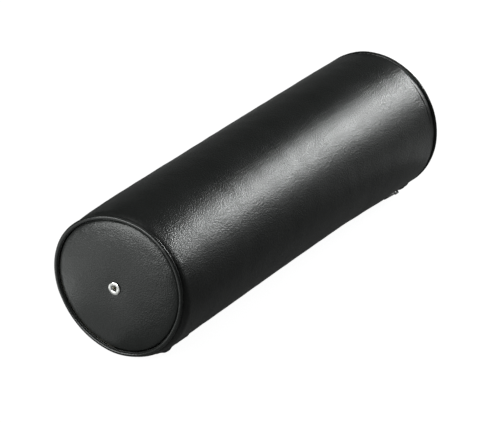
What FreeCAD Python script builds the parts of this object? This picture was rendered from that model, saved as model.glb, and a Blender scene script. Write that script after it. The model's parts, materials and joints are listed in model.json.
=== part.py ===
"""Round massage bolster: a foam roll in a zipped, piped cover.

Row frame, in millimetres: +X runs along the roll, +Z is up, and the origin is on the surface that
the roll lies on, under the middle of the roll. Left means the -X end and right the +X end.
The roll is soft, so every layer is round except for a narrow flat at the bottom where it rests.
The zip runs along the underside, turned ZIP_TURN degrees from straight down towards -Y.
"""

import FreeCAD, Part
import math
import os

from FreeCAD import Vector

# ---- the roll
OVERALL_LENGTH = 672.0  # over both eyelets
PIPING_LENGTH = 664.0  # over the outer faces of the two piping rings
COVER_RADIUS = 100.5
RIM_RADIUS = 98.5  # the piping, drawn in a little by its seam
REST_SAG = 1.2  # how far the cover is flattened where it rests
RIM_INSET = COVER_RADIUS - RIM_RADIUS
AXIS_HEIGHT = COVER_RADIUS - REST_SAG
REST_BLEND = 50.0  # radius that joins the flat to the round
VINYL = 1.2  # coated fabric, with its knitted backing
GAP = 0.2  # between soft layers that touch in use

# ---- the end seams: three turned-in allowances, one inside the other
SEAM_ALLOWANCE = 8.0
PIPING_TUBE = 2.8  # radius of the covered piping
PIPING_CORD = 1.7
PIPING_WRAP = 1.0
SHOULDER = 14.0  # length over which the cover turns in to the seam
SHOULDER_DROP = 5.2
ALLOWANCE_THICK = 1.0
CAP_RISE = 6.6  # dome of the end cap, from its edge to its middle

# ---- the filling
WADDING_INSET = 2.2
WADDING_THICK = 7.0
FOAM_INSET = 9.8
POCKET_DEPTH = 4.2  # hollow in the foam behind each eyelet
WADDING_GAP = 44.0  # the wadding's long edges stop short of the zip

# ---- the eyelets
EYELET_FLANGE = 9.0
EYELET_HOLE = 2.8
EYELET_WALL = 0.5
EYELET_RISE = 1.4
WASHER_RADIUS = 8.2
WASHER_THICK = 0.6

# ---- the zip, measured from the roll's axis line
ZIP_TURN = 36.0
CHAIN = 559.0  # 22 inches, from the bottom stop to the top stops
STOP_LENGTH = 2.2
SLIDER_LENGTH = 12.0
SLIDER_X = 292.0  # middle of the slider when the zip is closed
COIL_RIGHT = SLIDER_X + SLIDER_LENGTH / 2
COIL_LEFT = COIL_RIGHT - CHAIN
SLOT_HALF = 6.1
SLOT_LEFT, SLOT_RIGHT = COIL_LEFT - 6.0, COIL_RIGHT + 4.0
HEM_HALF = 20.0
TAPE_LOW, TAPE_HIGH = 95.8, 96.4
TAPE_HALF = 16.0
TAPE_LEFT, TAPE_RIGHT = COIL_LEFT - 18.0, COIL_RIGHT + 12.0
COIL_HIGH = 98.6
COIL_HALF = 2.6
PARTED = 1.4  # how far each coil stands from the middle where the slider parts them
SLIDER_REAR_HALF, SLIDER_FRONT_HALF = 4.2, 5.5
SLIDER_PLATE = 1.0
SLIDER_LOW = 94.4  # underside of the bottom plate
SLIDER_HIGH = 99.9  # top of the top plate
SLIDER_WALL = 1.0
CROWN_HIGH = 107.6
CROWN_HALF = 1.1
CROWN_REACH = 4.6
CROWN_BAR = 1.1
CROWN_FRONT = 2.9  # its front leg is the thicker one
PIN_R = 105.4  # distance of the pull tab's pin from the axis line
PIN_RADIUS = 0.6
PULL_LOW, PULL_HIGH = 104.3, 106.5  # the pull tab where it meets the slider, before it droops
PULL_TIP_HIGH = 105.6  # it thins towards its free end
PULL_DROOP = 4.5  # degrees by which its free end hangs towards the cover
PULL_LENGTH = 30.0
PULL_HALF = 3.8
PULL_EYE_HALF, PULL_EYE_LENGTH = 1.6, 5.2
END_TAB_HALF = 12.0
END_TAB_THICK = 1.0
FOLD_THICK, FOLD_LENGTH = 4.2, 13.0  # the left tab, folded over itself next to the end seam
STITCH_S = 10.0  # topstitching, either side of the zip's middle
THREAD = 0.3  # radius of the sewing thread

END_X = PIPING_LENGTH / 2
PIPING_X = END_X - PIPING_TUBE  # centre of the piping, along the roll
SEAM_X = END_X - 2 * PIPING_TUBE - GAP  # where the cover meets the piping
CAP_EDGE_X = SEAM_X + 1.6
CAP_TOP_X = OVERALL_LENGTH / 2 - EYELET_RISE
CAP_RADIUS = RIM_RADIUS - 2 * PIPING_TUBE - GAP
DOME_RADIUS = (CAP_RADIUS**2 + CAP_RISE**2) / (2 * CAP_RISE)
DOME_CENTRE = Vector(CAP_TOP_X - DOME_RADIUS, 0, AXIS_HEIGHT)
ALONG = Vector(1, 0, 0)


def outline(base, inset, x):
    """The roll's outline at x: a circle about the axis, flattened at the bottom and blended in.

    base is the radius of the outermost layer of a family and inset how far this layer lies inside it,
    so that layers of one family are parallel curves.
    """
    radius, floor, blend = base - inset, inset, REST_BLEND - inset
    drop = AXIS_HEIGHT - floor - blend
    flat = math.sqrt((radius - blend) ** 2 - drop**2)
    turn = math.atan2(flat, drop)
    left_end, right_end = Vector(x, -flat, floor), Vector(x, flat, floor)

    def on_blend(side, angle):
        return Vector(x, side * (flat + blend * math.sin(angle)), floor + blend - blend * math.cos(angle))

    def on_round(angle):
        return Vector(x, radius * math.sin(angle), AXIS_HEIGHT - radius * math.cos(angle))

    edges = [
        Part.LineSegment(left_end, right_end),
        Part.Arc(right_end, on_blend(1, turn / 2), on_round(turn)),
        Part.Arc(on_round(turn), on_round((turn + math.pi) / 2), on_round(math.pi)),
        Part.Arc(on_round(math.pi), on_round(-(turn + math.pi) / 2), on_round(-turn)),
        Part.Arc(on_round(-turn), on_blend(-1, turn / 2), left_end),
    ]
    return Part.Wire([e.toShape() for e in edges])


def solid_roll(base, inset, x0, x1):
    """The filled outline, from x0 to x1."""
    return Part.Face(outline(base, inset, x0)).extrude(ALONG * (x1 - x0))


def ring(base, outer_inset, inner_inset, x0, x1):
    """The band between two insets, from x0 to x1."""
    return solid_roll(base, outer_inset, x0, x1).cut(solid_roll(base, inner_inset, x0 - 1, x1 + 1))


def lofted(base, sections):
    """A filled roll through (x, inset) sections, straight between them."""
    parts = []
    for (x0, inset0), (x1, inset1) in zip(sections, sections[1:]):
        if inset0 == inset1:
            parts.append(solid_roll(base, inset0, x0, x1))
        else:
            wires = [outline(base, inset0, x0), outline(base, inset1, x1)]
            parts.append(Part.makeLoft(wires, True, True))
    return parts[0].multiFuse(parts[1:]).removeSplitter()


def mirrored(shape, side):
    """The shape at the right end, or its mirror image at the left end."""
    return shape if side > 0 else shape.mirror(Vector(0, 0, 0), ALONG)


# ---- the zip's own frame: x along the roll, s around it and r outward, then turned into place


def placed(shape):
    shape = shape.copy()
    shape.rotate(Vector(0, 0, 0), ALONG, 180 - ZIP_TURN)
    shape.translate(Vector(0, 0, AXIS_HEIGHT))
    return shape


def plan_solid(corners, low, high):
    """A flat-topped solid with the given (x, s) corners, from r = low to r = high."""
    points = [Vector(x, s, low) for x, s in corners]
    return Part.Face(Part.makePolygon(points + points[:1])).extrude(Vector(0, 0, high - low))


def strip(x0, x1, s0, s1, low, high):
    return plan_solid([(x0, s0), (x1, s0), (x1, s1), (x0, s1)], low, high)


def shell(inner, outer, x0, x1):
    """A round tube about the axis line, for pieces that curve with the cover."""
    start = Vector(x0, 0, 0)
    tube = Part.makeCylinder(outer, x1 - x0, start, ALONG)
    return tube.cut(Part.makeCylinder(inner, x1 - x0, start, ALONG))


# ---- cover, caps and piping


def body_cover():
    flat = SEAM_X - SHOULDER
    turns = [(-SEAM_X, SHOULDER_DROP), (-flat, 0), (flat, 0), (SEAM_X, SHOULDER_DROP)]
    skin = lofted(COVER_RADIUS, turns)
    skin = skin.cut(lofted(COVER_RADIUS, [(x, inset + VINYL) for x, inset in turns]))
    pieces = [skin]
    turned_in = SHOULDER_DROP + GAP
    for side in (-1, 1):
        x0, x1 = sorted((side * SEAM_X, side * (SEAM_X - SEAM_ALLOWANCE)))
        pieces.append(ring(COVER_RADIUS, turned_in, turned_in + ALLOWANCE_THICK, x0, x1))
    hem_ring = ring(COVER_RADIUS, VINYL, 2 * VINYL, SLOT_LEFT - 10, SLOT_RIGHT + 8)
    band = strip(SLOT_LEFT - 10, SLOT_RIGHT + 8, -HEM_HALF, HEM_HALF, 80, 120)
    pieces.append(hem_ring.common(placed(band)))
    cover = pieces[0].multiFuse(pieces[1:])
    slot = strip(SLOT_LEFT, SLOT_RIGHT, -SLOT_HALF, SLOT_HALF, 80, 120)
    return cover.cut(placed(slot)).removeSplitter()


def end_cap():
    """Domed disc with its allowance turned in, and the eyelet's hole punched in the middle."""
    inset = COVER_RADIUS - CAP_RADIUS
    dome = Part.makeSphere(DOME_RADIUS, DOME_CENTRE)
    dome = dome.cut(Part.makeSphere(DOME_RADIUS - VINYL, DOME_CENTRE))
    disc = dome.common(solid_roll(COVER_RADIUS, inset, CAP_EDGE_X - VINYL, CAP_TOP_X + 1))
    allowance = ring(COVER_RADIUS, inset, inset + ALLOWANCE_THICK, SEAM_X - SEAM_ALLOWANCE, CAP_EDGE_X + 0.4)
    start = Vector(CAP_TOP_X - 20, 0, AXIS_HEIGHT)
    hole = Part.makeCylinder(EYELET_HOLE + EYELET_WALL + 0.1, 40, start, ALONG)
    return disc.fuse(allowance).cut(hole).removeSplitter()


def piping_tube(radius):
    """A round cord that follows the rim."""
    path = outline(COVER_RADIUS, RIM_INSET + PIPING_TUBE, PIPING_X)
    start = path.Vertexes[0].Point
    circle = Part.Wire(Part.Circle(start, Vector(0, 1, 0), radius).toShape())
    tube = path.makePipeShell([circle], True, False)
    nominal = math.pi * radius**2 * path.Length
    print("ring of radius", radius, "has", round(tube.Volume / nominal, 4), "of its nominal volume")
    return tube


def piping_cover():
    tube = piping_tube(PIPING_TUBE).cut(piping_tube(PIPING_TUBE - PIPING_WRAP))
    inset = RIM_INSET + 2 * PIPING_TUBE - ALLOWANCE_THICK
    tail = ring(COVER_RADIUS, inset, inset + ALLOWANCE_THICK, SEAM_X - SEAM_ALLOWANCE, PIPING_X - PIPING_WRAP)
    return tube.fuse(tail.cut(piping_tube(PIPING_TUBE - 0.5))).removeSplitter()


def seam_thread():
    """The lockstitch that holds cap, piping and cover together, as one thread round the end."""
    inset = RIM_INSET + 2 * PIPING_TUBE + GAP + ALLOWANCE_THICK + THREAD + 0.1
    path = outline(COVER_RADIUS, inset, SEAM_X - 2.0)
    circle = Part.Wire(Part.Circle(path.Vertexes[0].Point, Vector(0, 1, 0), THREAD).toShape())
    return path.makePipeShell([circle], True, False)


# ---- filling


def foam_core():
    """The foam roll, its ends pressed into the domes of the caps, with a pocket behind each eyelet."""
    top = CAP_TOP_X - VINYL - GAP
    dome = Part.makeSphere(DOME_RADIUS - VINYL - GAP, DOME_CENTRE)
    pocket = Part.makeCylinder(WASHER_RADIUS + 1, 10, Vector(top - POCKET_DEPTH, 0, AXIS_HEIGHT), ALONG)
    roll = solid_roll(COVER_RADIUS, FOAM_INSET, -top, top)
    for side in (-1, 1):
        roll = roll.common(mirrored(dome, side)).cut(mirrored(pocket, side))
    return roll


def wadding_wrap():
    """A sheet wrapped once round the foam, its long edges either side of the zip."""
    reach = SEAM_X - SHOULDER
    wrap = ring(COVER_RADIUS, WADDING_INSET + 2 * GAP, WADDING_INSET + WADDING_THICK, -reach, reach)
    return wrap.cut(placed(strip(-reach - 1, reach + 1, -WADDING_GAP / 2, WADDING_GAP / 2, 60, 120)))


# ---- eyelets


def eyelet():
    """Rolled flange outside the cap, with a barrel through it that is curled over the washer."""
    hole, barrel = EYELET_HOLE, EYELET_HOLE + EYELET_WALL
    face = CAP_TOP_X + 0.05
    crest_r = (barrel + EYELET_FLANGE) / 2
    inner = CAP_TOP_X - VINYL - WASHER_THICK - 0.3

    def at(x, r):
        return Vector(x, 0, AXIS_HEIGHT + r)

    edges = [
        Part.LineSegment(at(face, barrel), at(face, EYELET_FLANGE)),
        Part.Arc(at(face, EYELET_FLANGE), at(face + EYELET_RISE - 0.05, crest_r), at(face, hole)),
        Part.LineSegment(at(face, hole), at(inner, hole)),
        Part.Arc(at(inner, hole), at(inner - 1.0, hole + 1.1), at(inner, hole + 2.2)),
        Part.LineSegment(at(inner, hole + 2.2), at(inner, barrel)),
        Part.LineSegment(at(inner, barrel), at(face, barrel)),
    ]
    profile = Part.Wire([e.toShape() for e in edges])
    return Part.Face(profile).revolve(Vector(0, 0, AXIS_HEIGHT), ALONG, 360)


def eyelet_washer():
    start = Vector(CAP_TOP_X - VINYL - 0.1 - WASHER_THICK, 0, AXIS_HEIGHT)
    disc = Part.makeCylinder(WASHER_RADIUS, WASHER_THICK, start, ALONG)
    return disc.cut(Part.makeCylinder(EYELET_HOLE + EYELET_WALL + 0.1, WASHER_THICK, start, ALONG))


# ---- zip


def inner_edge(half, side):
    """Plan of one half of the zip: its inner edge runs along the middle and parts at the slider."""
    rear = SLIDER_X - SLIDER_LENGTH * 0.35
    fork = SLIDER_X + SLIDER_LENGTH * 0.1
    return [(rear, side * half), (fork, side * (half + PARTED))]


def zip_tape(side):
    near = 0.4
    corners = [(TAPE_LEFT, side * near)] + inner_edge(near, side) + [(TAPE_RIGHT, side * (near + PARTED))]
    corners += [(TAPE_RIGHT, side * TAPE_HALF), (TAPE_LEFT, side * TAPE_HALF)]
    return shell(TAPE_LOW, TAPE_HIGH, TAPE_LEFT, TAPE_RIGHT).common(plan_solid(corners, 80, 110))


def zip_coil(side):
    """Envelope of one side's moulded coil, sewn on the tape's inner edge."""
    near = 0.03
    inside = [(COIL_LEFT, side * near)] + inner_edge(near, side) + [(COIL_RIGHT, side * (near + PARTED))]
    outside = [(x, s + side * COIL_HALF) for x, s in reversed(inside)]
    return plan_solid(inside + outside, TAPE_HIGH + 0.02, COIL_HIGH)


def top_stops():
    x0 = COIL_RIGHT + 0.3
    stops = []
    for side in (-1, 1):
        s0, s1 = sorted((side * (PARTED + 0.1), side * (PARTED + COIL_HALF)))
        stops.append(strip(x0, x0 + STOP_LENGTH, s0, s1, TAPE_HIGH + 0.02, COIL_HIGH + 0.2))
    return Part.makeCompound(stops)


def bottom_stop():
    x0 = COIL_LEFT - STOP_LENGTH - 0.1
    half = COIL_HALF + 0.4
    bar = strip(x0, x0 + STOP_LENGTH, -half, half, TAPE_HIGH + 0.02, COIL_HIGH + 0.3)
    return bar.makeFillet(0.4, [e for e in bar.Edges if e.BoundBox.ZMin > COIL_HIGH])


def slider_plan(inset):
    """Plan of the slider: narrow at the rear, wide at the shoulders in front."""
    half_length = SLIDER_LENGTH / 2
    rear, front = SLIDER_REAR_HALF - inset, SLIDER_FRONT_HALF - inset
    corners = [(-half_length, -rear), (0.3 * half_length, -front), (half_length, -front)]
    corners += [(x, -s) for x, s in reversed(corners)]
    return [(SLIDER_X + x, s) for x, s in corners]


def slider():
    """Two plates held apart by a wedge at the front, with flanges down the sides and a crown on top."""
    top = plan_solid(slider_plan(0), SLIDER_HIGH - SLIDER_PLATE - 0.1, SLIDER_HIGH)
    bottom = plan_solid(slider_plan(0), SLIDER_LOW, SLIDER_LOW + SLIDER_PLATE)
    upright = [e for e in top.Edges if e.BoundBox.XLength < 0.01 and e.BoundBox.YLength < 0.01]
    top = top.makeFillet(0.9, upright)
    upright = [e for e in bottom.Edges if e.BoundBox.XLength < 0.01 and e.BoundBox.YLength < 0.01]
    bottom = bottom.makeFillet(0.9, upright)
    flange_low = TAPE_HIGH + 0.5
    flanges = plan_solid(slider_plan(0.05), flange_low, SLIDER_HIGH - SLIDER_PLATE)
    half_length = SLIDER_LENGTH / 2
    channel = [(x + math.copysign(2, x - SLIDER_X), s) for x, s in slider_plan(SLIDER_WALL)]
    flanges = flanges.cut(plan_solid(channel, flange_low - 1, SLIDER_HIGH))
    tip, back = SLIDER_X + half_length - 0.4, SLIDER_X + 0.8
    middle = SLIDER_X + half_length * 0.62
    diamond = [(back, 0), (middle, -1.1), (tip, -0.7), (tip, 0.7), (middle, 1.1)]
    wedge = plan_solid(diamond, SLIDER_LOW + 0.5, SLIDER_HIGH - 0.5)
    crown = crown_arch()
    return top.multiFuse([bottom, flanges, wedge, crown]).removeSplitter()


def crown_arch():
    """The bridge over the slider that the pull tab's pin turns under."""
    base = SLIDER_HIGH - 0.4
    bend = 2.0

    def arch(reach, high, bend, low):
        block = strip(SLIDER_X - reach, SLIDER_X + reach, -CROWN_HALF, CROWN_HALF, low, high)
        across = [e for e in block.Edges if e.BoundBox.YLength > CROWN_HALF and e.BoundBox.XLength < 0.01]
        return block.makeFillet(bend, [e for e in across if e.BoundBox.ZMin > low + 0.1])

    outer = arch(CROWN_REACH, CROWN_HIGH, bend, base)
    rear, front = CROWN_BAR + 0.2, CROWN_FRONT
    window = arch(CROWN_REACH - (rear + front) / 2, CROWN_HIGH - CROWN_BAR, bend - CROWN_BAR + 0.2, base - 1)
    window.translate(Vector((rear - front) / 2, 0, 0))
    return outer.cut(window)


def pull_tab():
    """A tapered tab on a pin, with an eye that clears the crown and a slot at its free end."""
    low, high = PULL_LOW, PULL_HIGH
    leg = PULL_EYE_HALF + 1.6
    end = SLIDER_X - PULL_LENGTH
    neck = SLIDER_X - PULL_EYE_LENGTH - 2.0
    corners = [(SLIDER_X, -leg), (neck, -leg), (neck - 3, -PULL_HALF), (end, -PULL_HALF)]
    corners += [(x, -s) for x, s in reversed(corners)]
    plate = plan_solid(corners, low, high)
    rounded = [e for e in plate.Edges if e.BoundBox.ZLength > 0.5 and abs(e.BoundBox.XMin - end) < 0.01]
    plate = plate.makeFillet(2.4, rounded)
    above = [Vector(end - 1, -9, PULL_TIP_HIGH), Vector(neck, -9, high), Vector(neck, -9, high + 3)]
    above.append(Vector(end - 1, -9, high + 3))
    plate = plate.cut(Part.Face(Part.makePolygon(above + above[:1])).extrude(Vector(0, 18, 0)))
    knuckle = Part.makeCylinder(high - PIN_R, 2 * leg, Vector(SLIDER_X, -leg, PIN_R), Vector(0, 1, 0))
    eye = strip(SLIDER_X - PULL_EYE_LENGTH, SLIDER_X + 2, -PULL_EYE_HALF, PULL_EYE_HALF, low - 1, high + 1)
    pin = Part.makeCylinder(PIN_RADIUS, 2 * leg, Vector(SLIDER_X, -leg, PIN_R), Vector(0, 1, 0))
    slot = strip(end + 2.4, end + 5.6, -1.7, 1.7, low - 1, high + 1)
    tab = plate.fuse(knuckle).cut(eye).cut(slot).fuse(pin).removeSplitter()
    tab.rotate(Vector(SLIDER_X, 0, PIN_R), Vector(0, 1, 0), -PULL_DROOP)
    return tab


def zip_end_tab(x0, x1, thick):
    """A patch of cover vinyl sewn over the end of the zip, curved with the cover."""
    inner = COVER_RADIUS + 0.1
    patch = shell(inner, inner + thick, x0, x1)
    return patch.common(strip(x0, x1, -END_TAB_HALF, END_TAB_HALF, 80, 120))


def left_zip_end_tab():
    """The tab over the bottom of the zip, folded over itself where it is caught by the end seam."""
    x0, x1 = -SEAM_X + 0.4, SLOT_LEFT + 1.0
    fold_end = x0 + FOLD_LENGTH
    inner = COVER_RADIUS + 0.1
    outer = inner + FOLD_THICK
    edges = [
        Part.LineSegment(Vector(fold_end, 0, inner), Vector(x0, 0, inner)),
        Part.Arc(Vector(x0, 0, inner), Vector((x0 + fold_end) / 2, 0, outer), Vector(fold_end, 0, inner)),
    ]
    profile = Part.Wire([e.toShape() for e in edges])
    fold = Part.Face(profile).revolve(Vector(0, 0, 0), ALONG, 360)
    fold = fold.common(strip(x0, fold_end, -END_TAB_HALF, END_TAB_HALF, 80, 120))
    return fold.fuse(zip_end_tab(x0, x1, END_TAB_THICK)).removeSplitter()


def topstitch():
    """The two rows of topstitching that hold the hems on the zip's tapes."""
    radius = COVER_RADIUS + THREAD + 0.1
    rows = []
    for side in (-1, 1):
        angle = side * STITCH_S / COVER_RADIUS
        start = Vector(SLOT_LEFT + 3, radius * math.sin(angle), radius * math.cos(angle))
        rows.append(Part.makeCylinder(THREAD, SLOT_RIGHT - SLOT_LEFT - 6, start, ALONG))
    return Part.makeCompound(rows)


def build():
    nodes = {
        "foam_core": foam_core(),
        "wadding_wrap": wadding_wrap(),
        "body_cover": body_cover(),
        "zip_tape_upper": placed(zip_tape(1)),
        "zip_tape_lower": placed(zip_tape(-1)),
        "zip_coil_upper": placed(zip_coil(1)),
        "zip_coil_lower": placed(zip_coil(-1)),
        "zip_top_stops": placed(top_stops()),
        "zip_bottom_stop": placed(bottom_stop()),
        "zip_slider": placed(slider()),
        "zip_pull_tab": placed(pull_tab()),
        "left_zip_end_tab": placed(left_zip_end_tab()),
        "right_zip_end_tab": placed(zip_end_tab(SLOT_RIGHT - 1.0, SEAM_X - SHOULDER, END_TAB_THICK)),
        "zip_topstitch": placed(topstitch()),
    }
    for name, side in (("left", -1), ("right", 1)):
        nodes[f"{name}_end_cap"] = mirrored(end_cap(), side)
        nodes[f"{name}_piping_cover"] = mirrored(piping_cover(), side)
        nodes[f"{name}_piping_cord"] = mirrored(piping_tube(PIPING_CORD), side)
        nodes[f"{name}_seam_thread"] = mirrored(seam_thread(), side)
        nodes[f"{name}_eyelet"] = mirrored(eyelet(), side)
        nodes[f"{name}_eyelet_washer"] = mirrored(eyelet_washer(), side)
    return nodes


def export(nodes):
    os.makedirs("parts", exist_ok=True)
    for name, shape in nodes.items():
        solids = shape.Solids
        kept = solids[0] if len(solids) == 1 else Part.makeCompound(solids)
        box = kept.BoundBox
        place = f"x {box.XMin:.1f}..{box.XMax:.1f}, z {box.ZMin:.1f}..{box.ZMax:.1f}"
        print(f"{name}: {len(solids)} solid(s), valid {kept.isValid()}, {kept.Volume / 1000:.2f} cm3, {place}")
        kept.exportStep(f"parts/{name}.step")


export(build())
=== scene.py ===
"""Looks for the round massage bolster: stuffed vinyl cover, piping, zip, eyelets and filling.

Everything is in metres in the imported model's frame: +X along the roll, +Z up, floor at z = 0.
Places on the roll are given as (x, s, r): x along the roll, s around it from the zip's middle line
(positive towards the upper side), and r out from the roll's axis.
"""

import json
import math
import random

import bmesh
import bpy
import numpy as np
from mathutils import Matrix, Vector, noise


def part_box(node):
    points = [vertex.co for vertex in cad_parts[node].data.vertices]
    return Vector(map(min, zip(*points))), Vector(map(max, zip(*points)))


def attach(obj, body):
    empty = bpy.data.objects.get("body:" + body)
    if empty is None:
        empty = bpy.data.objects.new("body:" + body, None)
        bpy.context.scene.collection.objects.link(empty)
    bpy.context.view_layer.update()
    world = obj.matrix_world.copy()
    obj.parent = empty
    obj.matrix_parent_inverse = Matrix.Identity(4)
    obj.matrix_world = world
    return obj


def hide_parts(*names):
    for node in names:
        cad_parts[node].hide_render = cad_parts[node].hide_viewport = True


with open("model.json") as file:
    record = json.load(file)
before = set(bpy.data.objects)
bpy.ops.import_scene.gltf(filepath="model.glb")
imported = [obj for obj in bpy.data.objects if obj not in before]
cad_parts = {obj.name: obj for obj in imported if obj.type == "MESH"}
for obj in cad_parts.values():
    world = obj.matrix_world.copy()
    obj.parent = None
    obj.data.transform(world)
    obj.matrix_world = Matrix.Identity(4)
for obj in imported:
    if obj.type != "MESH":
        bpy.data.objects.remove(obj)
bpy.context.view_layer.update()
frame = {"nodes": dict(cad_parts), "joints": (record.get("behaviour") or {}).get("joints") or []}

MM = 0.001

# ---- places read from the frame
cover_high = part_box("body_cover")[1]
RADIUS = cover_high.y
AXIS_Z = cover_high.z - RADIUS
SEAM_X = cover_high.x
END_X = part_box("right_piping_cover")[1].x
CAP_TOP_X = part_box("right_end_cap")[1].x
FACE_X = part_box("right_eyelet")[1].x
coil_low, coil_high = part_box("zip_coil_upper")
COIL_LEFT, COIL_RIGHT = coil_low.x, coil_high.x
SLOT_LEFT = COIL_LEFT - 6.0 * MM
SLOT_RIGHT = COIL_RIGHT + 4.0 * MM
slider_low, slider_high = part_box("zip_slider")
SLIDER_X = (slider_low.x + slider_high.x) / 2
hinge = next(j for j in frame["joints"] if j["name"] == "pull_tab_hinge")
ZIP_TURN = math.atan2(hinge["axis"][2], -hinge["axis"][1])

# ---- sizes that the frame doesn't give
PIPE = 2.8 * MM  # radius of the piping
SLOT_HALF = 6.1 * MM  # half the width of the zip opening
STITCH_S = 10.0 * MM  # topstitching, from the zip's middle line
SKIN = 1.1 * MM  # thickness of the vinyl
SIM_FRAMES = 20  # of the cloth simulation of each end cap
LEAN = 5.8 * MM  # how far the left end has been pushed towards -Y
COIL_R = 97.52 * MM  # the coils' middle, from the roll's axis
TAB_HALF = 12 * MM  # half the width of a zip end tab
WADDING_EDGE = 23.5 * MM  # the wadding's long edges, from the zip's middle line
PULL_LIFT = math.radians(3.0)
ROOT = "bolster"

# ---- how each stuffed end sits: the piping's outer radius, how far the ring is pulled out of round
# sideways, slantwise and in three lobes, how far the end is pushed out and sideways, how far its middle
# stands further out and off centre, the length of the cover's shoulder, how far that drops below the
# piping, and how far the cover's top has sunk next to it
ENDS = {
    -1: {"rim": 97.4 * MM, "oval": 0.7 * MM, "slant": 0.2 * MM, "lobes": 1.5 * MM, "out": 2.1 * MM,
         "y": -5.2 * MM, "z": 1.8 * MM, "top": 2.2 * MM, "pole": (2.7 * MM, -3.2 * MM), "turn": 11.0 * MM,
         "drop": 3.6 * MM, "sunk": 4.2 * MM},
    1: {"rim": 102.0 * MM, "oval": 0.0, "slant": 0.0, "lobes": 0.0, "out": 0.0,
        "y": -2.9 * MM, "z": 0.4 * MM, "top": 0.0, "pole": (0.0, 0.0), "turn": 9.0 * MM,
        "drop": 2.6 * MM, "sunk": 0.0},
}


# ---------------------------------------------------------------- small tools


def on_roll(x, s, r):
    """World position of a place on the roll."""
    angle = ZIP_TURN + s / RADIUS
    return Vector((x, -r * math.sin(angle), AXIS_Z - r * math.cos(angle)))


def on_end(side, x, angle, r):
    """World position at an end: x out from the middle, angle round from straight down, r from its centre."""
    end = ENDS[side]
    y, z = math.sin(angle), -math.cos(angle)
    r += out_of_round(side, y, z) * r / end["rim"]
    share = max(0.0, 1 - (r / (0.92 * end["rim"])) ** 2)
    centre = end_centre(side, share)
    return Vector((side * (x + end["out"]), centre.y + r * y, centre.z + r * z))


def out_of_round(side, y, z):
    end = ENDS[side]
    lobes = math.cos(3 * (math.atan2(y, -z) + 0.21))
    return end["oval"] * (y * y - z * z) + end["slant"] * 2 * y * z + end["lobes"] * lobes


def end_centre(side, share=0.0):
    """Centre of an end: of its piping, or with a share of 1 of the middle of its cap."""
    end = ENDS[side]
    return Vector((0, end["y"] + share * end["pole"][0], AXIS_Z + end["z"] + share * end["pole"][1]))


def to_seam(x):
    """Distance along the roll to the nearer end seam."""
    return SEAM_X + ENDS[1 if x > 0 else -1]["out"] - abs(x)


def settled(p, depth=0.0, soft=0.8 * MM):
    """The point, kept above the floor by depth, with a soft turn into the flat."""
    t = (p.z - depth) / soft
    if t > 20:
        return p
    return Vector((p.x, p.y, depth + soft * math.log1p(math.exp(t))))


def smoothstep(low, high, value):
    t = min(1.0, max(0.0, (value - low) / (high - low)))
    return t * t * (3 - 2 * t)


def bumpy(x, y, z, size, seed=0.0):
    """Smooth noise between about -1 and 1 that changes over the given size."""
    return noise.noise(Vector((x / size + seed, y / size - seed, z / size + 2 * seed)))


def mesh_object(name, points, faces, material):
    mesh = bpy.data.meshes.new(name)
    mesh.from_pydata([tuple(p) for p in points], [], faces)
    mesh.validate()
    mesh.update()
    mesh.polygons.foreach_set("use_smooth", [True] * len(mesh.polygons))
    if material:
        mesh.materials.append(material)
    obj = bpy.data.objects.new(name, mesh)
    bpy.context.scene.collection.objects.link(obj)
    return obj


def grid_faces(rows, columns, wrap, start=0):
    """Quads of a grid of points, numbered row by row; wrap joins the last column to the first."""
    faces = []
    for i in range(rows - 1):
        for j in range(columns if wrap else columns - 1):
            k = (j + 1) % columns
            a, b = start + i * columns + j, start + i * columns + k
            faces.append((a, b, b + columns, a + columns))
    return faces


def ring_faces(count, sides, start=0):
    """Quads of a grid that closes on itself both ways."""
    faces = []
    for k in range(count):
        for j in range(sides):
            a, b = start + k * sides + j, start + k * sides + (j + 1) % sides
            c, d = start + ((k + 1) % count) * sides + (j + 1) % sides, start + ((k + 1) % count) * sides + j
            faces.append((a, b, c, d))
    return faces


class Parts:
    """Points and faces of several small solids that make one piece."""

    def __init__(self):
        self.points, self.faces = [], []

    def tube(self, path, radius, sides=8, closed=False, up=Vector((1, 0, 0)), shape=None):
        """A tube along a list of points. shape(i, angle) scales its radius."""
        start, count = len(self.points), len(path)
        for i, p in enumerate(path):
            after = path[(i + 1) % count] if closed or i + 1 < count else p
            before = path[i - 1] if closed or i > 0 else p
            along = (after - before).normalized()
            side = along.cross(up)
            side = side.normalized() if side.length > 1e-6 else along.orthogonal().normalized()
            over = side.cross(along)
            for k in range(sides):
                angle = 2 * math.pi * k / sides
                r = radius * (shape(i, angle) if shape else 1.0)
                self.points.append(p + (side * math.cos(angle) + over * math.sin(angle)) * r)
        self.faces += grid_faces(count, sides, True, start)
        if closed:
            last = start + (count - 1) * sides
            for k in range(sides):
                n = (k + 1) % sides
                self.faces.append((last + k, last + n, start + n, start + k))
        else:
            self.faces.append(tuple(start + k for k in range(sides)))
            self.faces.append(tuple(start + (count - 1) * sides + k for k in reversed(range(sides))))

    def make(self, name, material):
        obj = mesh_object(name, self.points, self.faces, material)
        fix_normals(obj)
        return obj


def fix_normals(obj):
    b = bmesh.new()
    b.from_mesh(obj.data)
    bmesh.ops.recalc_face_normals(b, faces=b.faces)
    b.to_mesh(obj.data)
    b.free()


def dress(obj, body, slot, *nodes):
    """The piece rides on a body and stands for CAD nodes, which it hides; its slot argument is not used."""
    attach(obj, body)
    if nodes:
        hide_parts(*nodes)
    return obj


def smoothed(obj):
    """One level of subdivision."""
    smooth = obj.modifiers.new("smooth", "SUBSURF")
    smooth.levels = smooth.render_levels = 1


def solidify(obj, thickness):
    """Gives a skin its thickness, inwards, and smooths it."""
    m = obj.modifiers.new("thickness", "SOLIDIFY")
    m.thickness, m.offset = thickness, -1.0
    smoothed(obj)


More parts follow.
